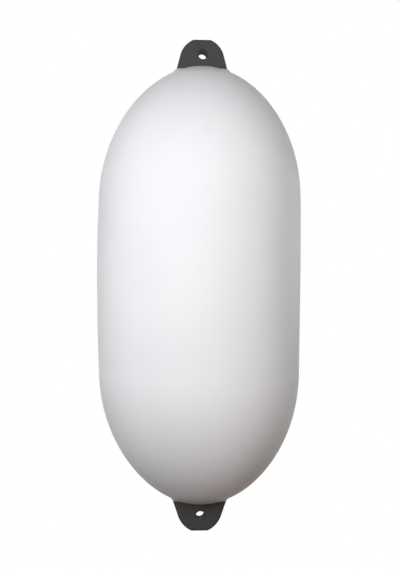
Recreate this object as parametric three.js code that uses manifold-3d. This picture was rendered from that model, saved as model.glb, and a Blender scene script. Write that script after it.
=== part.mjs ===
// A large inflatable boat fender: a hollow skin of soft white PVC with a dark eye set in each end for
// a mooring line, and an inflation valve on the back of the upper shoulder.
// Millimetres, +Z up, front towards -Y. The origin is the centre of the top eye's rope hole, from
// which the fender hangs.

import * as THREE from "three";
import { mergeVertices } from "three/addons/utils/BufferGeometryUtils.js";
import Module from "manifold-3d";

// Skin, inflated
const BODY_DIAMETER = 300;
const BODY_LENGTH = 645;
const SIDE_LENGTH = 261; // nearly straight stretch between the two shoulders
const SIDE_BULGE = 1.75; // the side draws in this much from its middle to a shoulder
const SHOULDER_REACH = 106; // how far the end curve follows the side before it turns in
const CROWN_REACH = 75; // how far it runs level across the crown
const WALL = 4;
const POLE_WALL = 8; // the wall thickens evenly from the shoulders to the poles
const COLLAR_HEIGHT = 1.6; // low raised edge of the skin round each eye's neck
const COLLAR_WIDTH = 4;

// Eyes, one in each pole
const EYE_RISE = 38.5; // tip above the pole
const EYE_THICKNESS = 32;
const EYE_END_RADIUS = 33;
const EYE_TIP_CUT = 2.4; // depth of the flat cut across the round end
const EYE_TAPER = 15; // lean of each side from upright, in degrees
const EYE_EDGE_RADIUS = 4;
const ROPE_HOLE_DIAMETER = 13.5;
const ROPE_HOLE_HEIGHT = 16.5; // centre above the pole
const ROPE_HOLE_RIM = 2.5; // rounding of the hole's two rims
const NECK_DEPTH = 40; // the eye's blank runs this far below the pole before it is dished
const FOOT_THICKNESS = 7;
const FOOT_FLANGE = 13; // the foot stands out this far round the neck, inside the skin

// Inflation valve and the boss that holds it
const VALVE_HEIGHT = 205; // above the middle of the body
const VALVE_HEAD_DIAMETER = 20;
const VALVE_HEAD_THICKNESS = 3.5;
const VALVE_HEAD_ROUND = 1.2;
const VALVE_RECESS = 2;
const VALVE_STEM_DIAMETER = 10;
const VALVE_LIP_DIAMETER = 14;
const VALVE_LIP_LENGTH = 4;
const NEEDLE_DIAMETER = 2.6;
const NEEDLE_DEPTH = 6;
const NEEDLE_FUNNEL_DIAMETER = 6;
const NEEDLE_FUNNEL_DEPTH = 1.2;
const BOSS_DIAMETER = 36;
const BOSS_DEPTH = 12; // from the outside of the skin
const RING_WIDTH = 3; // raised ring round the recess
const RING_HEIGHT = 0.6;

// Gap between pieces that touch
const CLEARANCE = 0.3;

// Fineness of the round surfaces
const SKIN_SEGMENTS = 64;
const SKIN_SIDE_STEPS = 5;
const SKIN_END_STEPS = 16;
const INSIDE_SEGMENTS = 48;
const INSIDE_SIDE_STEPS = 2;
const INSIDE_END_STEPS = 10;
const HOLE_SEGMENTS = 24;
const RIM_STEPS = 4;
const EYE_ARC_STEPS = 7;
const EDGE_STEPS = 3;
const VALVE_SEGMENTS = 24;

// A cutter runs this far past what it cuts
const OVERRUN = 20;

const BODY_RADIUS = BODY_DIAMETER / 2;
const POLE = BODY_LENGTH / 2;
const SHOULDER = SIDE_LENGTH / 2;
const TAPER = THREE.MathUtils.degToRad(EYE_TAPER);

const wasm = await Module();
wasm.setup();

// A closed geometry as a solid for cutting and joining.
function solidOf(geometry) {
  const bare = geometry.clone();
  bare.deleteAttribute("normal");
  bare.deleteAttribute("uv");
  const merged = mergeVertices(bare);
  return new wasm.Manifold(
    new wasm.Mesh({
      numProp: 3,
      vertProperties: merged.getAttribute("position").array,
      triVerts: new Uint32Array(merged.index.array),
    }),
  );
}

function geometryOf(solid) {
  const mesh = solid.getMesh();
  const geometry = new THREE.BufferGeometry();
  geometry.setAttribute("position", new THREE.BufferAttribute(mesh.vertProperties, 3));
  geometry.setIndex(new THREE.BufferAttribute(mesh.triVerts, 1));
  geometry.computeVertexNormals();
  return geometry;
}

// A solid of revolution about Y. Its profile runs upwards, from the axis out and back to the axis.
function turned(profile, segments) {
  const points = profile.map(([radius, height]) => new THREE.Vector2(radius, height));
  return new THREE.LatheGeometry(points, segments);
}

// The body's outline, as radius and height, from its middle to the upper pole.
function upperOutline() {
  const middle = new THREE.Vector2(BODY_RADIUS, 0);
  const sidePull = new THREE.Vector2(BODY_RADIUS, SHOULDER / 2);
  const shoulder = new THREE.Vector2(BODY_RADIUS - SIDE_BULGE, SHOULDER);
  const alongSide = shoulder.clone().sub(sidePull).normalize();
  const shoulderPull = shoulder.clone().addScaledVector(alongSide, SHOULDER_REACH);
  const crownPull = new THREE.Vector2(CROWN_REACH, POLE);
  const pole = new THREE.Vector2(0, POLE);
  return {
    side: new THREE.QuadraticBezierCurve(middle, sidePull, shoulder),
    end: new THREE.CubicBezierCurve(shoulder, shoulderPull, crownPull, pole),
  };
}

function wallAt(height) {
  const rise = THREE.MathUtils.clamp((height - SHOULDER) / (POLE - SHOULDER), 0, 1);
  return WALL + (POLE_WALL - WALL) * rise * rise;
}

// The point at t on a curve of the outline and its outward normal.
function outlinePoint(curve, t) {
  const point = curve.getPoint(t);
  const along = curve.getTangent(t);
  return { point, normal: new THREE.Vector2(along.y, -along.x) };
}

// The outline from pole to pole, moved inwards by what depthAt gives for each height.
function bodyProfile(sideSteps, endSteps, depthAt) {
  const { side, end } = upperOutline();
  const upper = [];
  const add = (curve, t) => {
    const { point, normal } = outlinePoint(curve, t);
    const moved = point.clone().addScaledVector(normal, -depthAt(point.y));
    upper.push([moved.x, moved.y]);
  };
  for (let i = 0; i < sideSteps; i++) add(side, i / sideSteps);
  for (let i = 0; i < endSteps; i++) add(end, i / endSteps);
  upper.push([0, POLE - depthAt(POLE)]);
  const lower = upper.slice(1).reverse();
  return [...lower.map(([radius, height]) => [radius, -height]), ...upper];
}

function bodyOutside(growth = 0) {
  const profile = bodyProfile(SKIN_SIDE_STEPS, SKIN_END_STEPS, () => -growth);
  return solidOf(turned(profile, SKIN_SEGMENTS).rotateX(Math.PI / 2));
}

// The air space of the body, or a smaller copy of it that stays a given distance off the wall.
function bodyInside(distance = 0) {
  const depthAt = (height) => wallAt(height) + distance;
  const profile = bodyProfile(INSIDE_SIDE_STEPS, INSIDE_END_STEPS, depthAt);
  return solidOf(turned(profile, INSIDE_SEGMENTS).rotateX(Math.PI / 2));
}

// Half the width of an eye at a height, below the round end.
function eyeHalfWidth(height) {
  const centre = POLE + EYE_RISE + EYE_TIP_CUT - EYE_END_RADIUS;
  return EYE_END_RADIUS / Math.cos(TAPER) + (centre - height) * Math.tan(TAPER);
}

// The upper eye's plate and neck, with rounded edges, grown on every side by extra.
function eyeBlank(extra = 0) {
  const inset = EYE_EDGE_RADIUS;
  const centre = POLE + EYE_RISE + EYE_TIP_CUT - EYE_END_RADIUS;
  const radius = EYE_END_RADIUS + extra - inset;
  const tip = POLE + EYE_RISE + extra - inset;
  const foot = POLE - NECK_DEPTH;
  const flatAngle = Math.asin((tip - centre) / radius);
  const footHalfWidth = eyeHalfWidth(foot) + (extra - inset) / Math.cos(TAPER);
  const outline = new THREE.Shape();
  outline.moveTo(-footHalfWidth, foot);
  outline.lineTo(footHalfWidth, foot);
  outline.absarc(0, centre, radius, TAPER, flatAngle, false);
  outline.absarc(0, centre, radius, Math.PI - flatAngle, Math.PI - TAPER, false);
  const plate = new THREE.ExtrudeGeometry(outline, {
    depth: EYE_THICKNESS + 2 * (extra - inset),
    bevelSize: inset,
    bevelThickness: inset,
    bevelSegments: EDGE_STEPS,
    curveSegments: EYE_ARC_STEPS,
  });
  plate.translate(0, 0, inset - extra - EYE_THICKNESS / 2);
  return solidOf(plate.rotateX(Math.PI / 2));
}

// What is cut for the rope: a round hole whose two rims are rounded.
function ropeHole() {
  const radius = ROPE_HOLE_DIAMETER / 2;
  const face = EYE_THICKNESS / 2;
  const flare = [];
  for (let i = 0; i <= RIM_STEPS; i++) {
    const turn = (i / RIM_STEPS) * (Math.PI / 2);
    const out = ROPE_HOLE_RIM * (1 - Math.cos(turn));
    flare.push([radius + out, face - ROPE_HOLE_RIM * (1 - Math.sin(turn))]);
  }
  flare.push([radius + ROPE_HOLE_RIM, face + OVERRUN], [0, face + OVERRUN]);
  const back = flare.map(([r, y]) => [r, -y]).reverse();
  const cutter = turned([...back, ...flare], HOLE_SEGMENTS);
  return solidOf(cutter.translate(0, 0, POLE + ROPE_HOLE_HEIGHT));
}

// The oval that bounds the foot, from the middle of the body outwards past the pole.
function footBounds() {
  const halfWidth = EYE_THICKNESS / 2 + FOOT_FLANGE;
  const halfLength = eyeHalfWidth(POLE - POLE_WALL) + FOOT_FLANGE;
  const oval = new THREE.Shape();
  oval.absarc(halfLength - halfWidth, 0, halfWidth, -Math.PI / 2, Math.PI / 2, false);
  oval.absarc(halfWidth - halfLength, 0, halfWidth, Math.PI / 2, Math.PI * 1.5, false);
  const depth = POLE;
  return solidOf(new THREE.ExtrudeGeometry(oval, { depth, bevelEnabled: false, curveSegments: 16 }));
}

// An eye: a thick plate with a rope hole, whose neck passes through the skin to a dished foot that
// bears on the inside of the crown.
function eye() {
  const underFoot = bodyInside(CLEARANCE + FOOT_THICKNESS);
  const foot = bodyInside(CLEARANCE).intersect(footBounds());
  return geometryOf(eyeBlank().add(foot).subtract(underFoot).subtract(ropeHole()));
}

// Where the valve sits on the back of the body, and how far its axis leans up from level.
function valveSeat() {
  const { end } = upperOutline();
  let low = 0;
  let high = 1;
  while (high - low > 1e-6) {
    const t = (low + high) / 2;
    if (end.getPoint(t).y < VALVE_HEIGHT) low = t;
    else high = t;
  }
  const { point, normal } = outlinePoint(end, low);
  const seat = new THREE.Group();
  seat.position.set(0, point.x, point.y);
  seat.rotation.x = Math.atan2(normal.y, normal.x);
  seat.updateMatrix();
  return seat;
}

// The plug: a head in the recess, a stem through the boss and a lip that holds it from inside.
function valvePlug() {
  const head = VALVE_HEAD_DIAMETER / 2;
  const stem = VALVE_STEM_DIAMETER / 2;
  const lip = VALVE_LIP_DIAMETER / 2;
  const underHead = CLEARANCE - VALVE_RECESS;
  const top = underHead + VALVE_HEAD_THICKNESS;
  const lipTop = -BOSS_DEPTH - CLEARANCE;
  const lipEnd = lipTop - VALVE_LIP_LENGTH;
  const needle = NEEDLE_DIAMETER / 2;
  const profile = [
    [0, lipEnd],
    [stem, lipEnd],
    [lip, lipTop],
    [stem, lipTop],
    [stem, underHead],
    [head, underHead],
  ];
  for (let i = 0; i <= RIM_STEPS; i++) {
    const turn = (i / RIM_STEPS) * (Math.PI / 2);
    const out = head - VALVE_HEAD_ROUND * (1 - Math.cos(turn));
    profile.push([out, top - VALVE_HEAD_ROUND * (1 - Math.sin(turn))]);
  }
  profile.push(
    [NEEDLE_FUNNEL_DIAMETER / 2, top],
    [needle, top - NEEDLE_FUNNEL_DEPTH],
    [needle, top - NEEDLE_DEPTH],
    [0, top - NEEDLE_DEPTH],
  );
  return turned(profile, VALVE_SEGMENTS);
}

// What is cut for the valve: a flat-bottomed recess and the bore of the boss.
function valveHole() {
  const recess = VALVE_HEAD_DIAMETER / 2 + CLEARANCE;
  const bore = VALVE_STEM_DIAMETER / 2 + CLEARANCE;
  const profile = [
    [0, -BOSS_DEPTH - OVERRUN],
    [bore, -BOSS_DEPTH - OVERRUN],
    [bore, -VALVE_RECESS],
    [recess, -VALVE_RECESS],
    [recess, OVERRUN],
    [0, OVERRUN],
  ];
  return turned(profile, VALVE_SEGMENTS);
}

// The thick place on the inside of the skin that holds the valve.
function valveBoss() {
  const radius = BOSS_DIAMETER / 2;
  const profile = [
    [0, -BOSS_DEPTH],
    [radius, -BOSS_DEPTH],
    [radius, OVERRUN],
    [0, OVERRUN],
  ];
  return turned(profile, VALVE_SEGMENTS);
}

// The raised ring that the valve's recess is sunk in, as a disc with a sloping edge.
function valveRing() {
  const outer = VALVE_HEAD_DIAMETER / 2 + CLEARANCE + RING_WIDTH;
  const profile = [
    [0, -BOSS_DEPTH / 2],
    [outer, -BOSS_DEPTH / 2],
    [outer, 0],
    [outer - RING_WIDTH / 3, RING_HEIGHT],
    [0, RING_HEIGHT],
  ];
  return turned(profile, VALVE_SEGMENTS);
}

// The skin's raised edge round the upper eye's neck. It follows the crown.
function collar() {
  return eyeBlank(CLEARANCE + COLLAR_WIDTH).intersect(bodyOutside(COLLAR_HEIGHT));
}

// The blown skin: thicker at its ends, slotted at each pole for an eye's neck, and bored for the
// valve.
function skin(seat) {
  const rim = collar();
  const outside = bodyOutside().add(rim).add(rim.rotate([0, 180, 0]));
  const slot = eyeBlank(CLEARANCE);
  const boss = solidOf(valveBoss().applyMatrix4(seat.matrix)).intersect(outside);
  const hole = solidOf(valveHole().applyMatrix4(seat.matrix));
  const solid = outside
    .subtract(bodyInside())
    .add(boss)
    .add(solidOf(valveRing().applyMatrix4(seat.matrix)))
    .subtract(hole)
    .subtract(slot)
    .subtract(slot.rotate([0, 180, 0]));
  return geometryOf(solid);
}

function whitePvc() {
  return new THREE.MeshStandardMaterial({ color: 0xf1f1f2, roughness: 0.36, metalness: 0 });
}

function darkPvc() {
  return new THREE.MeshStandardMaterial({ color: 0x464644, roughness: 0.5, metalness: 0 });
}

function valveRubber() {
  return new THREE.MeshStandardMaterial({ color: 0x2b2b2b, roughness: 0.6, metalness: 0 });
}

function named(name, geometry, material) {
  const mesh = new THREE.Mesh(geometry, material);
  mesh.name = name;
  return mesh;
}

const seat = valveSeat();
seat.add(named("inflation_valve", valvePlug(), valveRubber()));

const bottomEye = named("bottom_eye", eye(), darkPvc());
bottomEye.rotation.y = Math.PI;

const body = new THREE.Group();
body.add(named("fender_skin", skin(seat), whitePvc()));
body.add(named("top_eye", eye(), darkPvc()));
body.add(bottomEye);
body.add(seat);
body.position.z = -(POLE + ROPE_HOLE_HEIGHT);

const fender = new THREE.Group();
fender.add(body);

export default fender;
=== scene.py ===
import math

import bmesh
import bpy
import numpy as np
from mathutils import Matrix, Vector


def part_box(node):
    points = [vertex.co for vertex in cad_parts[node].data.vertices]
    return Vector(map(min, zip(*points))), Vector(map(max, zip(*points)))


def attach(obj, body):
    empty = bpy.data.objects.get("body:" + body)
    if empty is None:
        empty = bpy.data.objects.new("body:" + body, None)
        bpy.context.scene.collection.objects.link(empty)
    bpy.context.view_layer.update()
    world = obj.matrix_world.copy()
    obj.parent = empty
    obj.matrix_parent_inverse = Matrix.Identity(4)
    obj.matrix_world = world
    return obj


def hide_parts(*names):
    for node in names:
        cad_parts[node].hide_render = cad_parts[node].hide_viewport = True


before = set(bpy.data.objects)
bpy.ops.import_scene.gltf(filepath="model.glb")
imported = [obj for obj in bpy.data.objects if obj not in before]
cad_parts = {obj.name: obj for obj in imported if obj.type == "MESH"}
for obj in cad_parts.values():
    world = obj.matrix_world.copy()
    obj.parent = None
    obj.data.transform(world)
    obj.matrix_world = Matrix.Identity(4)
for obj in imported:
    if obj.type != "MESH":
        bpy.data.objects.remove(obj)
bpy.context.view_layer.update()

# Sizes of the fender, in metres. The frame's origin is the centre of the top eye's rope hole.
MM = 0.001
SKIN_LOW, SKIN_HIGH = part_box("fender_skin")
BODY_RADIUS = (SKIN_HIGH.y - SKIN_LOW.y) / 2
MIDDLE = (SKIN_LOW.z + SKIN_HIGH.z) / 2
ROPE_HOLE_HEIGHT = 16.5 * MM
POLE = -MIDDLE - ROPE_HOLE_HEIGHT
SHOULDER = 130.5 * MM
SIDE_BULGE = 1.75 * MM
SHOULDER_REACH = 106 * MM
POLE_REACH = 75 * MM
WALL = 4 * MM
POLE_WALL = 8 * MM
CLEARANCE = 0.3 * MM

# Eyes
EYE_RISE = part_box("top_eye")[1].z + ROPE_HOLE_HEIGHT
EYE_THICKNESS = 32 * MM
EYE_END_RADIUS = 33 * MM
EYE_TIP_CUT = 2.4 * MM
EYE_TAPER = math.radians(15)
EYE_EDGE_RADIUS = 4 * MM
ROPE_HOLE_RADIUS = 6.75 * MM
ROPE_HOLE_RIM = 2.5 * MM
BORE_MARGIN = 0.3 * MM
NECK_SIDE_DEPTH = 20 * MM
PLATE_OFFSET = 1.1 * MM
PLATE_SHIFT_START = 10 * MM
PLATE_SHIFT_END = 16 * MM
BOTTOM_PLATE_FLARE = 2.3
FLARE_DEPTH = 20 * MM
FOOT_THICKNESS = 7 * MM
FOOT_FLANGE = 13 * MM
FOOT_SQUARENESS = 6

# Valve
VALVE_HEIGHT = 205 * MM
VALVE_HEAD_RADIUS = 10 * MM
VALVE_HEAD_THICKNESS = 3.5 * MM
VALVE_HEAD_ROUND = 1.2 * MM
VALVE_RECESS = 2 * MM
RECESS_RADIUS = 10.8 * MM
RECESS_SLOPE = 0.9 * MM
VALVE_STEM_RADIUS = 5 * MM
VALVE_LIP_RADIUS = 7 * MM
VALVE_LIP_LENGTH = 4 * MM
NEEDLE_RADIUS = 1.3 * MM
NEEDLE_DEPTH = 6 * MM
NEEDLE_FUNNEL_RADIUS = 3 * MM
NEEDLE_FUNNEL_DEPTH = 1.2 * MM
BOSS_DEPTH = 12 * MM
BOSS_RADIUS = 18 * MM
CUT_OVERRUN = 2 * MM

# Small forms of the soft skin
BOW = 3.6 * MM
FULLNESS = 0.6 * MM
UNEVEN = 0.3 * MM
LIP_HEIGHT = 3 * MM
LIP_FACE_HEIGHT = 0.7 * MM
LIP_REACH = 6 * MM
LIP_CORNER = 13 * MM
PARTING_HEIGHT = 0.22 * MM
PARTING_WIDTH = 0.9 * MM
RING_HEIGHT = 0.8 * MM
RING_RADIUS = 12.6 * MM
RING_WIDTH = 1.6 * MM

# Waves of the uneven side: how often round the fender, how fast along it, and from what angle
WAVES = [(2, 7, 0), (3, -5, 1.3)]

# Where the small forms begin and end, as shares of the pole's height, and of the lip's reach
LIP_START = 0.8
WAVES_FADE = 0.75
WAVES_END = 0.92
FULLNESS_END = 0.95
PARTING_START = 0.6

# Steps of the skin's mesh, closer near the eyes, the valve and the parting lines
COARSE_STEP = 5 * MM
FINE_STEP = 1.1 * MM
FINE_START_RADIUS = 12 * MM
FINE_END_RADIUS = 58 * MM
FINE_VALVE_HEIGHT = 17 * MM
FINE_VALVE_WIDTH = 18 * MM
EVEN_COLUMNS = 144
VALVE_COLUMNS = 29
PARTING_COLUMNS = 9
BESIDE_VALVE = 0.01
BESIDE_PARTING = 0.005
SHORTEST_EDGE = 0.01 * MM

# Steps of the other meshes
ARC_POINTS = 60
PLATE_OUTLINE_POINTS = 4000
PLATE_COLUMNS = 240
PLATE_FACE_STEPS = 8
FOOT_COLUMNS = 128
FOOT_RINGS = 14
FOOT_FIRST_RING = 0.05
BOSS_COLUMNS = 96
VALVE_SEGMENTS = 64

# Photograph: 400 by 570 pixels, the fender's middle and its lean read in that frame
IMAGE_WIDTH = 400
IMAGE_HEIGHT = 570
PIXEL = 1.485 * MM
CENTRE_COLUMN = 201.05
CENTRE_ROW = 285.2
LEAN = math.radians(0.32)
CAMERA_DISTANCE = 1.346
CAMERA_AZIMUTH = math.radians(-3.5)
CAMERA_CLIP = 0.05
SENSOR_HEIGHT = 24

# Stage
FLOOR_DROP = 1.35
FLOOR_SIZE = 4
FLOOR_PLAIN_RADIUS = 0.4
FLOOR_WHITE_RADIUS = 1.9
FLOOR_GLOW = 0.65
AMBIENT = 0.009
AMBIENT_COLOR = (1, 0.8, 0.6, 1)
WHITE = (1, 1, 1, 1)

# Each lamp: name, place from the fender's middle, size, watts, colour
LAMPS = [
    ("key", (-0.36, -1, 0.19), 0.9, 8.45, (0.965, 0.96, 0.978)),
    ("front_fill", (0.1, -0.8, 0.18), 0.7, 1.4, (0.985, 0.975, 1)),
    ("left_fill", (-1, 0, 0.15), 0.7, 2.9, (0.97, 0.965, 1)),
    ("right_fill", (0.8, -0.4, 0.15), 0.6, 1.2, (1, 0.985, 1)),
    ("right_back_fill", (1.1, 0.7, 0.15), 0.7, 2.3, (1, 1, 1)),
    ("top_fill", (-0.1, -0.35, 1.2), 0.8, 1.1, (0.97, 0.965, 1)),
    ("low_fill", (0.5, -0.6, -0.9), 0.6, 0.44, (1, 0.42, 0.02)),
    ("back_fill", (0, 1.5, 0.1), 0.8, 15, (1, 1, 1)),
]


# Outline of the body

def quadratic(a, b, c, t):
    return (1 - t) ** 2 * a + 2 * (1 - t) * t * b + t ** 2 * c


def cubic(a, b, c, d, t):
    return (1 - t) ** 3 * a + 3 * (1 - t) ** 2 * t * b + 3 * (1 - t) * t ** 2 * c + t ** 3 * d


def upper_outline(count=1500):
    """Radius and height of the body from its middle to the pole, with the outward normals."""
    side_pull = np.array([BODY_RADIUS, SHOULDER / 2])
    shoulder = np.array([BODY_RADIUS - SIDE_BULGE, SHOULDER])
    along = (shoulder - side_pull) / np.linalg.norm(shoulder - side_pull)
    shoulder_pull = shoulder + SHOULDER_REACH * along
    pole_pull = np.array([POLE_REACH, POLE])
    t = np.linspace(0, 1, count)[:, None]
    side = quadratic(np.array([BODY_RADIUS, 0]), side_pull, shoulder, t)
    end = cubic(shoulder, shoulder_pull, pole_pull, np.array([0, POLE]), t[1:])
    points = np.vstack([side, end])
    tangent = np.gradient(points, axis=0)
    tangent /= np.linalg.norm(tangent, axis=1)[:, None]
    normals = np.column_stack([tangent[:, 1], -tangent[:, 0]])
    return points, normals


OUTLINE, OUTLINE_NORMALS = upper_outline()


def wall_at(height):
    rise = np.clip((height - SHOULDER) / (POLE - SHOULDER), 0, 1)
    return WALL + (POLE_WALL - WALL) * rise * rise


def inside_height(radius, distance):
    """Height of the skin's inner face, less a distance, above the top rope hole's centre."""
    depth = wall_at(OUTLINE[:, 1]) + distance
    moved = OUTLINE - OUTLINE_NORMALS * depth[:, None]
    return np.interp(radius, moved[::-1, 0], moved[::-1, 1]) - POLE - ROPE_HOLE_HEIGHT


def valve_place():
    """Radius, height and lean of the valve's axis on the outline."""
    index = int(np.argmin(np.abs(OUTLINE[:, 1] - VALVE_HEIGHT)))
    radius, height = OUTLINE[index]
    across, up = OUTLINE_NORMALS[index]
    return radius, height, math.atan2(up, across)


VALVE_OUT, VALVE_UP, VALVE_LEAN = valve_place()


# Meshes

def new_object(name, vertices, faces):
    mesh = bpy.data.meshes.new(name)
    mesh.from_pydata([tuple(v) for v in vertices], [], faces)
    mesh.validate()
    piece = bpy.data.objects.new(name, mesh)
    bpy.context.scene.collection.objects.link(piece)
    return piece


def shade(piece, sharp_degrees):
    mesh = piece.data
    mesh.polygons.foreach_set("use_smooth", [True] * len(mesh.polygons))
    mesh.set_sharp_from_angle(angle=math.radians(sharp_degrees))


def grid_faces(rows, columns, closed_rows=False):
    """Quads of a grid that is closed round its columns, and round its rows too if asked."""
    faces = []
    for i in range(rows if closed_rows else rows - 1):
        below = i * columns
        above = ((i + 1) % rows) * columns
        for j in range(columns):
            k = (j + 1) % columns
            faces.append((below + j, below + k, above + k, above + j))
    return faces


def capped_faces(rows, columns):
    """Quads of a grid closed round its columns, with each end drawn to one of two last vertices."""
    faces = grid_faces(rows, columns)
    last = (rows - 1) * columns
    low_end = rows * columns
    for j in range(columns):
        k = (j + 1) % columns
        faces.append((low_end, k, j))
        faces.append((low_end + 1, last + j, last + k))
    return faces


def turned(name, profile, segments):
    """A solid of revolution about Z. Its profile runs from the axis, upwards, back to the axis."""
    ring = profile[1:-1]
    vertices = []
    for radius, height in ring:
        for j in range(segments):
            turn = 2 * math.pi * j / segments
            vertices.append((radius * math.cos(turn), radius * math.sin(turn), height))
    vertices += [(0, 0, profile[0][1]), (0, 0, profile[-1][1])]
    return new_object(name, vertices, capped_faces(len(ring), segments))


def outward(piece):
    """Turns every face outward, as the booleans need."""
    work = bmesh.new()
    work.from_mesh(piece.data)
    bmesh.ops.recalc_face_normals(work, faces=work.faces)
    work.to_mesh(piece.data)
    work.free()


def merge_shortest(mesh):
    work = bmesh.new()
    work.from_mesh(mesh)
    bmesh.ops.remove_doubles(work, verts=work.verts, dist=SHORTEST_EDGE)
    bmesh.ops.dissolve_degenerate(work, edges=work.edges, dist=SHORTEST_EDGE)
    work.to_mesh(mesh)
    work.free()


def combine(piece, other, operation):
    """Joins other to piece or cuts it away, and leaves no modifier."""
    outward(piece)
    outward(other)
    change = piece.modifiers.new("change", "BOOLEAN")
    change.operation = operation
    change.solver = "EXACT"
    change.object = other
    bpy.context.view_layer.update()
    evaluated = piece.evaluated_get(bpy.context.evaluated_depsgraph_get())
    changed = bpy.data.meshes.new_from_object(evaluated)
    piece.modifiers.clear()
    piece.data = changed
    bpy.data.objects.remove(other)
    merge_shortest(changed)


def quarter(steps):
    return np.linspace(0, math.pi / 2, steps + 1)


def smooth_step(value, start, end):
    t = np.clip((value - start) / (end - start), 0, 1)
    return t * t * (3 - 2 * t)


# Skin

def spaced(length, step_at):
    """Places from 0 to length, a local step apart."""
    places = [0.0]
    while places[-1] < length:
        places.append(places[-1] + step_at(places[-1]))
    return np.array(places) * length / places[-1]


def skin_rows():
    """Radius, height and normal of each ring of the skin, from the lower pole to the upper."""
    steps = np.linalg.norm(np.diff(OUTLINE, axis=0), axis=1)
    run = np.concatenate([[0], np.cumsum(steps)])

    def half(valve):
        def step_at(place):
            radius = np.interp(place, run, OUTLINE[:, 0])
            height = np.interp(place, run, OUTLINE[:, 1])
            near_eye = FINE_START_RADIUS < radius < FINE_END_RADIUS
            near_valve = valve and abs(height - VALVE_UP) < FINE_VALVE_HEIGHT
            return FINE_STEP if near_eye or near_valve else COARSE_STEP
        at = spaced(run[-1], step_at)[:-1]
        return np.array([np.interp(at, run, column) for column in
                         (OUTLINE[:, 0], OUTLINE[:, 1], OUTLINE_NORMALS[:, 0], OUTLINE_NORMALS[:, 1])])

    upper = half(True)
    lower = half(False)[:, 1:][:, ::-1] * np.array([[1], [-1], [1], [-1]])
    return np.concatenate([lower, upper], axis=1).T


def skin_columns():
    """Angles of the skin's meridians: even, and closer at the valve and the two parting lines."""
    even = np.linspace(0, 2 * math.pi, EVEN_COLUMNS, endpoint=False)
    valve_span = FINE_VALVE_WIDTH / VALVE_OUT
    valve = math.pi / 2 + np.linspace(-valve_span, valve_span, VALVE_COLUMNS)
    line_span = 2 * PARTING_WIDTH / BODY_RADIUS
    line = np.linspace(-line_span, line_span, PARTING_COLUMNS)
    near = [a for a in even if abs(a - math.pi / 2) > valve_span + BESIDE_VALVE
            and abs(math.sin(a)) > line_span + BESIDE_PARTING]
    every = np.concatenate([near, valve, line % (2 * math.pi), math.pi + line])
    return np.unique(np.round(every, 7))


def eye_half_width(height):
    centre = POLE + EYE_RISE + EYE_TIP_CUT - EYE_END_RADIUS
    return EYE_END_RADIUS / math.cos(EYE_TAPER) + (centre - height) * math.tan(EYE_TAPER)


def eye_distance(x, y, height):
    """How far a place lies outside an eye's neck, seen along the fender."""
    half_width = eye_half_width(height) - EYE_EDGE_RADIUS
    half_depth = EYE_THICKNESS / 2 - EYE_EDGE_RADIUS
    out_x = np.maximum(np.abs(x) - half_width, 0)
    out_y = np.maximum(np.abs(y) - half_depth, 0)
    return np.hypot(out_x, out_y) - EYE_EDGE_RADIUS


def valve_distance(x, y, z):
    """How far a place lies from the valve's axis."""
    valve = np.array([0, VALVE_OUT, VALVE_UP])
    axis = np.array([0, math.cos(VALVE_LEAN), math.sin(VALVE_LEAN)])
    offset = np.stack([x, y, z], axis=-1) - valve
    return np.linalg.norm(offset - (offset @ axis)[..., None] * axis, axis=-1)


def lip_and_parting(x, y, height):
    """The lip beside the eyes and the mould's parting line, which ends before it."""
    near_eye = np.clip(eye_distance(x, y, height) / LIP_REACH, 0, 1)
    half_width = eye_half_width(height)
    at_side = smooth_step(np.abs(x), half_width - LIP_CORNER, half_width)
    lip_height = LIP_FACE_HEIGHT + (LIP_HEIGHT - LIP_FACE_HEIGHT) * at_side
    lip = np.where(height > POLE * LIP_START, lip_height * (1 - near_eye) ** 2, 0)
    clear_of_eye = smooth_step(near_eye, PARTING_START, 1)
    parting = PARTING_HEIGHT * np.clip(1 - np.abs(y) / PARTING_WIDTH, 0, 1) * clear_of_eye
    return lip + parting


def skin_relief(x, y, z, turn):
    """How far the surface stands out along its normal, for the skin's small forms."""
    height = np.abs(z)
    wave = sum(np.sin(around * turn + along * z / POLE + start) for around, along, start in WAVES)
    fade = 1 - smooth_step(height, WAVES_FADE * POLE, WAVES_END * POLE)
    relief = lip_and_parting(x + PLATE_OFFSET, y, height)
    relief = relief + UNEVEN / len(WAVES) * wave * fade
    relief = relief + FULLNESS * np.sin(math.pi * np.clip(z / (FULLNESS_END * POLE), -1, 1))
    off_axis = valve_distance(x, y, z)
    recess = 1 - smooth_step(off_axis, RECESS_RADIUS, RECESS_RADIUS + RECESS_SLOPE)
    ring = np.clip(1 - ((off_axis - RING_RADIUS) / RING_WIDTH) ** 2, 0, 1)
    sunk = (relief + RING_HEIGHT * ring) * (1 - recess) - VALVE_RECESS * recess
    at_back = y > 0
    return np.where(at_back, sunk, relief)


def barrel(name, rows, turns, relief_at, pole_relief):
    """A closed surface on the outline, bowed to one side and moved along its normals by a relief."""
    radius, z, out, up = [rows[:, i][:, None] for i in range(4)]
    turn = turns[None, :]
    x = radius * np.cos(turn) - BOW * (1 - (z / POLE) ** 2) ** 2
    y = radius * np.sin(turn)
    z = z + 0 * turn
    relief = relief_at(x, y, z, turn)
    x = x + relief * out * np.cos(turn)
    y = y + relief * out * np.sin(turn)
    z = z + relief * up
    grid = np.stack([x, y, z + MIDDLE], axis=-1).reshape(-1, 3)
    reach = POLE + pole_relief
    vertices = [*grid, (0, 0, MIDDLE - reach), (0, 0, MIDDLE + reach)]
    return new_object(name, vertices, capped_faces(len(rows), len(turns)))


def at_valve(piece):
    """Moves a piece made about Z to the valve's axis on the upper shoulder."""
    lean = Matrix.Rotation(VALVE_LEAN - math.pi / 2, 4, "X")
    piece.data.transform(Matrix.Translation((0, VALVE_OUT, MIDDLE + VALVE_UP)) @ lean)
    return piece


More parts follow.
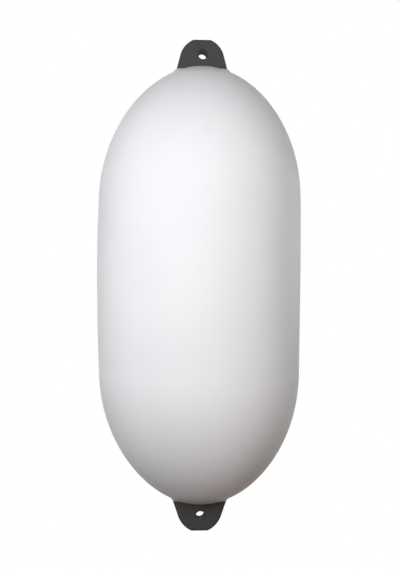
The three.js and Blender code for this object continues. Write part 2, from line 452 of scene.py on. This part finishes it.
def make_air_space():
    """All that is cut from the skin: the air space, both slots and the valve's bore."""
    space = barrel("air_space", skin_rows()[::2], skin_columns()[::2],
                   lambda x, y, z, turn: -wall_at(np.abs(z)), -POLE_WALL)
    boss = [(0, -BOSS_DEPTH), (BOSS_RADIUS, -BOSS_DEPTH), (BOSS_RADIUS, 0), (0, 0)]
    combine(space, at_valve(turned("boss", boss, BOSS_COLUMNS)), "DIFFERENCE")
    bore_radius = VALVE_STEM_RADIUS + CLEARANCE
    bore_end = -BOSS_DEPTH - CUT_OVERRUN
    bore = [(0, bore_end), (bore_radius, bore_end), (bore_radius, 0), (0, 0)]
    cutters = [at_valve(turned("bore", bore, VALVE_SEGMENTS))]
    for upper in (True, False):
        slot = placed_plate(upper)
        for vertex in slot.data.vertices:
            vertex.co.x *= 1 + CLEARANCE / EYE_END_RADIUS
            vertex.co.y *= 1 + 2 * CLEARANCE / EYE_THICKNESS
        cutters.append(slot if upper else turned_over(slot))
    for cutter in cutters:
        combine(space, cutter, "UNION")
    return space


def make_skin():
    piece = barrel("skin_surface", skin_rows(), skin_columns(), skin_relief, LIP_HEIGHT)
    combine(piece, make_air_space(), "DIFFERENCE")
    shade(piece, sharp_degrees=60)
    return piece


# Eyes

def eye_outline(turns, inset):
    """The plate's outline moved in by inset, at each angle round the rope hole's centre."""
    centre = EYE_RISE + EYE_TIP_CUT - EYE_END_RADIUS - ROPE_HOLE_HEIGHT
    radius = EYE_END_RADIUS - inset
    tip = EYE_RISE - ROPE_HOLE_HEIGHT - inset
    flat = math.asin((tip - centre) / radius)
    arc = np.linspace(EYE_TAPER, flat, ARC_POINTS)
    right = np.column_stack([radius * np.cos(arc), centre + radius * np.sin(arc)])
    neck_half_width = eye_half_width(POLE - NECK_SIDE_DEPTH) - inset / math.cos(EYE_TAPER)
    x = np.linspace(-neck_half_width, neck_half_width, ARC_POINTS)
    dish = inside_height(np.abs(x), CLEARANCE + FOOT_THICKNESS / 2)
    neck_end = np.column_stack([x, dish + inset])
    shape = np.vstack([right, right[::-1] * np.array([-1, 1]), neck_end, right[:1]])
    run = np.concatenate([[0], np.cumsum(np.linalg.norm(np.diff(shape, axis=0), axis=1))])
    fine = np.linspace(0, run[-1], PLATE_OUTLINE_POINTS, endpoint=False)
    x, z = [np.interp(fine, run, shape[:, i]) for i in range(2)]
    angle = np.arctan2(z, x) % (2 * math.pi)
    order = np.argsort(angle)
    reach = np.interp(turns, angle[order], np.hypot(x, z)[order], period=2 * math.pi)
    return np.column_stack([reach * np.cos(turns), reach * np.sin(turns)])


def eye_plate():
    """The plate with its neck, the rope hole and the rounded rims, as one closed ring of rows."""
    turns = np.linspace(0, 2 * math.pi, PLATE_COLUMNS, endpoint=False)
    way = np.column_stack([np.cos(turns), np.sin(turns)])
    face = EYE_THICKNESS / 2
    rows = []
    for a in quarter(steps=7):
        radius = ROPE_HOLE_RADIUS + ROPE_HOLE_RIM * (1 - math.cos(a))
        rows.append((way * radius, face - ROPE_HOLE_RIM * (1 - math.sin(a))))
    start = way * (ROPE_HOLE_RADIUS + ROPE_HOLE_RIM)
    end = eye_outline(turns, EYE_EDGE_RADIUS)
    for share in np.linspace(0, 1, PLATE_FACE_STEPS + 1)[1:-1]:
        rows.append((start + (end - start) * share, face))
    for a in quarter(steps=8):
        plan = eye_outline(turns, EYE_EDGE_RADIUS * (1 - math.sin(a)))
        rows.append((plan, face - EYE_EDGE_RADIUS * (1 - math.cos(a))))
    rows.append((eye_outline(turns, 0), face / 3))
    mirrored = [(plan, -depth) for plan, depth in reversed(rows)]
    hole = [(way * ROPE_HOLE_RADIUS, -face / 3), (way * ROPE_HOLE_RADIUS, face / 3)]
    vertices = []
    for plan, depth in rows + mirrored + hole:
        vertices += [(x, depth, z) for x, z in plan]
    count = len(rows) * 2 + len(hole)
    return new_object("eye_plate", vertices, grid_faces(count, PLATE_COLUMNS, closed_rows=True))


def eye_foot():
    """The dished oval that bears on the skin's inner face at the pole."""
    half_width = EYE_THICKNESS / 2 + FOOT_FLANGE
    half_length = eye_half_width(POLE - POLE_WALL) + FOOT_FLANGE
    turn = np.linspace(0, 2 * math.pi, FOOT_COLUMNS, endpoint=False)
    straight = (half_length - half_width) * np.tanh(FOOT_SQUARENESS * np.cos(turn))
    edge = np.column_stack([half_width * np.cos(turn) + straight, half_width * np.sin(turn)])
    under, over = CLEARANCE + FOOT_THICKNESS, CLEARANCE
    shares = np.linspace(FOOT_FIRST_RING, 1, FOOT_RINGS)
    vertices = []
    for distance, order in ((under, shares), (over, shares[::-1])):
        for share in order:
            plan = edge * share
            heights = inside_height(np.hypot(plan[:, 0], plan[:, 1]), distance)
            vertices += [(x, y, z) for (x, y), z in zip(plan, heights)]
    vertices += [(0, 0, float(inside_height(0, distance))) for distance in (under, over)]
    return new_object("eye_foot", vertices, capped_faces(FOOT_RINGS * 2, FOOT_COLUMNS))


def mark_bore(piece):
    """Marks the rope hole's wall, where the material is paler and duller."""
    mark = piece.data.attributes.new("bore", "FLOAT", "POINT")
    edge = ROPE_HOLE_RADIUS + BORE_MARGIN
    inside = [float(math.hypot(v.co.x, v.co.z) < edge) for v in piece.data.vertices]
    mark.data.foreach_set("value", inside)


def shift_plate(piece, offset):
    """Moves the plate sideways round its rope hole, which stays."""
    for vertex in piece.data.vertices:
        from_hole = math.hypot(vertex.co.x, vertex.co.z)
        vertex.co.x += offset * float(smooth_step(from_hole, PLATE_SHIFT_START, PLATE_SHIFT_END))


def placed_plate(upper):
    """The plate with its own offset, and with the flare of the lower one."""
    piece = eye_plate()
    if not upper:
        for vertex in piece.data.vertices:
            vertex.co.x *= 1 - BOTTOM_PLATE_FLARE * max(vertex.co.z, -FLARE_DEPTH)
    shift_plate(piece, -PLATE_OFFSET if upper else PLATE_OFFSET)
    return piece


def turned_over(piece):
    """Moves a piece made for the top to the same place at the lower end."""
    half_turn = Matrix.Rotation(math.pi, 4, "Y")
    piece.data.transform(Matrix.Translation((0, 0, 2 * MIDDLE)) @ half_turn)
    return piece


def make_eye(name, upper):
    piece = placed_plate(upper)
    combine(piece, eye_foot(), "UNION")
    mark_bore(piece)
    piece.name = name
    shade(piece, sharp_degrees=40)
    return piece if upper else turned_over(piece)


# Valve

def make_valve():
    under_head = CLEARANCE - VALVE_RECESS
    top = under_head + VALVE_HEAD_THICKNESS
    lip_top = -BOSS_DEPTH - CLEARANCE
    lip_end = lip_top - VALVE_LIP_LENGTH
    profile = [
        (0, lip_end),
        (VALVE_STEM_RADIUS, lip_end),
        (VALVE_LIP_RADIUS, lip_top),
        (VALVE_STEM_RADIUS, lip_top),
        (VALVE_STEM_RADIUS, under_head),
        (VALVE_HEAD_RADIUS, under_head),
    ]
    for a in quarter(steps=6):
        out = VALVE_HEAD_RADIUS - VALVE_HEAD_ROUND * (1 - math.cos(a))
        profile.append((out, top - VALVE_HEAD_ROUND * (1 - math.sin(a))))
    profile += [
        (NEEDLE_FUNNEL_RADIUS, top),
        (NEEDLE_RADIUS, top - NEEDLE_FUNNEL_DEPTH),
        (NEEDLE_RADIUS, top - NEEDLE_DEPTH),
        (0, top - NEEDLE_DEPTH),
    ]
    piece = at_valve(turned("valve_surface", profile, VALVE_SEGMENTS))
    shade(piece, sharp_degrees=35)
    return piece


# Materials

def new_material(name, color, roughness, specular):
    """A material with its plain values. Patterns are linked over them where it has any."""
    material = bpy.data.materials.new(name)
    material.use_nodes = True
    shader = material.node_tree.nodes["Principled BSDF"]
    shader.inputs["Base Color"].default_value = (*color, 1)
    shader.inputs["Roughness"].default_value = roughness
    shader.inputs["Specular IOR Level"].default_value = specular
    return material, material.node_tree, shader


def noise(tree, scale, detail):
    place = tree.nodes.new("ShaderNodeTexCoord")
    texture = tree.nodes.new("ShaderNodeTexNoise")
    texture.inputs["Scale"].default_value = scale
    texture.inputs["Detail"].default_value = detail
    tree.links.new(place.outputs["Object"], texture.inputs["Vector"])
    return texture.outputs["Fac"]


def between(tree, source, low, high):
    """Maps a noise, most of which lies from 0.3 to 0.7, to the range from low to high."""
    node = tree.nodes.new("ShaderNodeMapRange")
    node.inputs["From Min"].default_value = 0.3
    node.inputs["From Max"].default_value = 0.7
    node.inputs["To Min"].default_value = low
    node.inputs["To Max"].default_value = high
    tree.links.new(source, node.inputs["Value"])
    return node.outputs["Result"]


def larger(tree, first, second):
    node = tree.nodes.new("ShaderNodeMath")
    node.operation = "MAXIMUM"
    tree.links.new(first, node.inputs[0])
    tree.links.new(second, node.inputs[1])
    return node.outputs[0]


def mix_shaders(tree, share, first, second):
    node = tree.nodes.new("ShaderNodeMixShader")
    tree.links.new(share, node.inputs[0])
    tree.links.new(first.outputs[0], node.inputs[1])
    tree.links.new(second.outputs[0], node.inputs[2])
    return node


def mottle(tree, shader, source, dark, light):
    mix = tree.nodes.new("ShaderNodeMix")
    mix.data_type = "RGBA"
    mix.inputs["A"].default_value = (*dark, 1)
    mix.inputs["B"].default_value = (*light, 1)
    tree.links.new(between(tree, source, 0, 1), mix.inputs["Factor"])
    tree.links.new(mix.outputs["Result"], shader.inputs["Base Color"])
    return mix.outputs["Result"]


def grain(tree, shader, layers):
    """Stacks bumps of (scale, detail, height in metres) under the shader."""
    normal = None
    for scale, detail, height in layers:
        bump = tree.nodes.new("ShaderNodeBump")
        bump.inputs["Strength"].default_value = 1
        bump.inputs["Distance"].default_value = height
        tree.links.new(noise(tree, scale, detail), bump.inputs["Height"])
        if normal is not None:
            tree.links.new(normal, bump.inputs["Normal"])
        normal = bump.outputs["Normal"]
    tree.links.new(normal, shader.inputs["Normal"])


def white_pvc():
    material, tree, shader = new_material("white_pvc", (0.86, 0.86, 0.87), 0.44, 0.1)
    mottle(tree, shader, noise(tree, 9, 3), (0.85, 0.85, 0.865), (0.875, 0.875, 0.885))
    rough = between(tree, noise(tree, 24, 4), 0.4, 0.46)
    tree.links.new(rough, shader.inputs["Roughness"])
    grain(tree, shader, [(40, 2, 0.00012), (420, 3, 0.00002)])
    return material


def dark_pvc():
    """Dark grey with a fine grain, paler and fully dull inside the rope hole."""
    material, tree, shader = new_material("dark_pvc", (0.063, 0.063, 0.061), 0.65, 0.1)
    color = mottle(tree, shader, noise(tree, 60, 4), (0.06, 0.06, 0.058), (0.067, 0.067, 0.065))
    bore = tree.nodes.new("ShaderNodeAttribute")
    bore.attribute_name = "bore"
    paler = tree.nodes.new("ShaderNodeMix")
    paler.data_type = "RGBA"
    paler.inputs["B"].default_value = (0.075, 0.075, 0.073, 1)
    tree.links.new(bore.outputs["Fac"], paler.inputs["Factor"])
    tree.links.new(color, paler.inputs["A"])
    tree.links.new(paler.outputs["Result"], shader.inputs["Base Color"])
    rough = between(tree, noise(tree, 90, 4), 0.6, 0.72)
    tree.links.new(larger(tree, rough, bore.outputs["Fac"]), shader.inputs["Roughness"])
    grain(tree, shader, [(150, 3, 0.0001), (1300, 3, 0.00003)])
    return material


def valve_rubber():
    material, tree, shader = new_material("valve_rubber", (0.025, 0.025, 0.025), 0.6, 0.3)
    mottle(tree, shader, noise(tree, 200, 3), (0.022, 0.022, 0.022), (0.03, 0.03, 0.03))
    grain(tree, shader, [(1500, 3, 0.00003)])
    return material


def seen_directly(tree):
    """One for a ray from the camera, a reflection or a clear part, else nothing."""
    path = tree.nodes.new("ShaderNodeLightPath")
    seen = path.outputs["Is Camera Ray"]
    for other in ("Is Glossy Ray", "Is Transmission Ray"):
        seen = larger(tree, seen, path.outputs[other])
    return seen


def pale_floor():
    """A pale floor that keeps its shadows, turns white far out and throws up little light."""
    material, tree, shader = new_material("pale_floor", (0.8, 0.8, 0.8), 0.9, 0.2)
    mottle(tree, shader, noise(tree, 3, 2), (0.79, 0.79, 0.79), (0.81, 0.81, 0.81))
    shader.inputs["Emission Color"].default_value = WHITE
    shader.inputs["Emission Strength"].default_value = FLOOR_GLOW
    white = tree.nodes.new("ShaderNodeEmission")
    dull = tree.nodes.new("ShaderNodeBsdfDiffuse")
    dull.inputs["Color"].default_value = (0.2, 0.2, 0.2, 1)
    place = tree.nodes.new("ShaderNodeTexCoord")
    reach = tree.nodes.new("ShaderNodeVectorMath")
    reach.operation = "LENGTH"
    tree.links.new(place.outputs["Object"], reach.inputs[0])
    far = tree.nodes.new("ShaderNodeMapRange")
    far.interpolation_type = "SMOOTHSTEP"
    far.inputs["From Min"].default_value = FLOOR_PLAIN_RADIUS
    far.inputs["From Max"].default_value = FLOOR_WHITE_RADIUS
    tree.links.new(reach.outputs["Value"], far.inputs["Value"])
    near_or_far = mix_shaders(tree, far.outputs["Result"], shader, white)
    mix = mix_shaders(tree, seen_directly(tree), dull, near_or_far)
    tree.links.new(mix.outputs[0], tree.nodes["Material Output"].inputs["Surface"])
    return material


# Stage

def make_floor():
    half = FLOOR_SIZE / 2
    corners = [(-half, -half, 0), (half, -half, 0), (half, half, 0), (-half, half, 0)]
    floor = new_object("floor", corners, [(0, 1, 2, 3)])
    floor.location.z = MIDDLE - FLOOR_DROP
    floor.data.materials.append(pale_floor())


def make_lamps():
    middle = Vector((0, 0, MIDDLE))
    for name, place, size, watts, color in LAMPS:
        light = bpy.data.lights.new(name, "AREA")
        light.shape = "DISK"
        light.size = size
        light.energy = watts
        light.color = color
        lamp = bpy.data.objects.new(name, light)
        bpy.context.scene.collection.objects.link(lamp)
        lamp.location = middle + Vector(place)
        lamp.rotation_euler = (-Vector(place)).to_track_quat("-Z", "Y").to_euler()
        lamp.visible_camera = False


def make_world():
    """Faint even light on the object; white where the camera or a reflection sees it."""
    world = bpy.data.worlds.new("studio")
    bpy.context.scene.world = world
    world.use_nodes = True
    tree = world.node_tree
    tree.nodes.clear()
    even = tree.nodes.new("ShaderNodeBackground")
    even.inputs["Color"].default_value = AMBIENT_COLOR
    even.inputs["Strength"].default_value = AMBIENT
    white = tree.nodes.new("ShaderNodeBackground")
    white.inputs["Color"].default_value = WHITE
    white.inputs["Strength"].default_value = 1
    output = tree.nodes.new("ShaderNodeOutputWorld")
    mix = mix_shaders(tree, seen_directly(tree), even, white)
    tree.links.new(mix.outputs[0], output.inputs["Surface"])


def make_camera():
    data = bpy.data.cameras.new("camera")
    data.sensor_fit = "VERTICAL"
    data.sensor_height = SENSOR_HEIGHT
    data.lens = SENSOR_HEIGHT * CAMERA_DISTANCE / (IMAGE_HEIGHT * PIXEL)
    data.clip_start = CAMERA_CLIP
    camera = bpy.data.objects.new("camera", data)
    bpy.context.scene.collection.objects.link(camera)
    back = Vector((math.sin(CAMERA_AZIMUTH), -math.cos(CAMERA_AZIMUTH), 0))
    right = Vector((math.cos(CAMERA_AZIMUTH), math.sin(CAMERA_AZIMUTH), 0))
    up = Vector((0, 0, 1))
    aim = Vector((0, 0, MIDDLE))
    aim -= right * (CENTRE_COLUMN - IMAGE_WIDTH / 2) * PIXEL
    aim += up * (CENTRE_ROW - IMAGE_HEIGHT / 2) * PIXEL
    leaning_right = right * math.cos(LEAN) + up * math.sin(LEAN)
    leaning_up = up * math.cos(LEAN) - right * math.sin(LEAN)
    turn = Matrix((leaning_right, leaning_up, back)).transposed()
    camera.matrix_world = Matrix.Translation(aim + back * CAMERA_DISTANCE) @ turn.to_4x4()
    bpy.context.scene.camera = camera


def dress(piece, node, material):
    piece.data.materials.clear()
    piece.data.materials.append(material)
    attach(piece, "root")
    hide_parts(node)


dark = dark_pvc()
dress(make_skin(), "fender_skin", white_pvc())
dress(make_eye("top_eye_surface", True), "top_eye", dark)
dress(make_eye("bottom_eye_surface", False), "bottom_eye", dark)
dress(make_valve(), "inflation_valve", valve_rubber())

make_floor()
make_lamps()
make_world()
make_camera()
bpy.context.scene.view_settings.view_transform = "Standard"
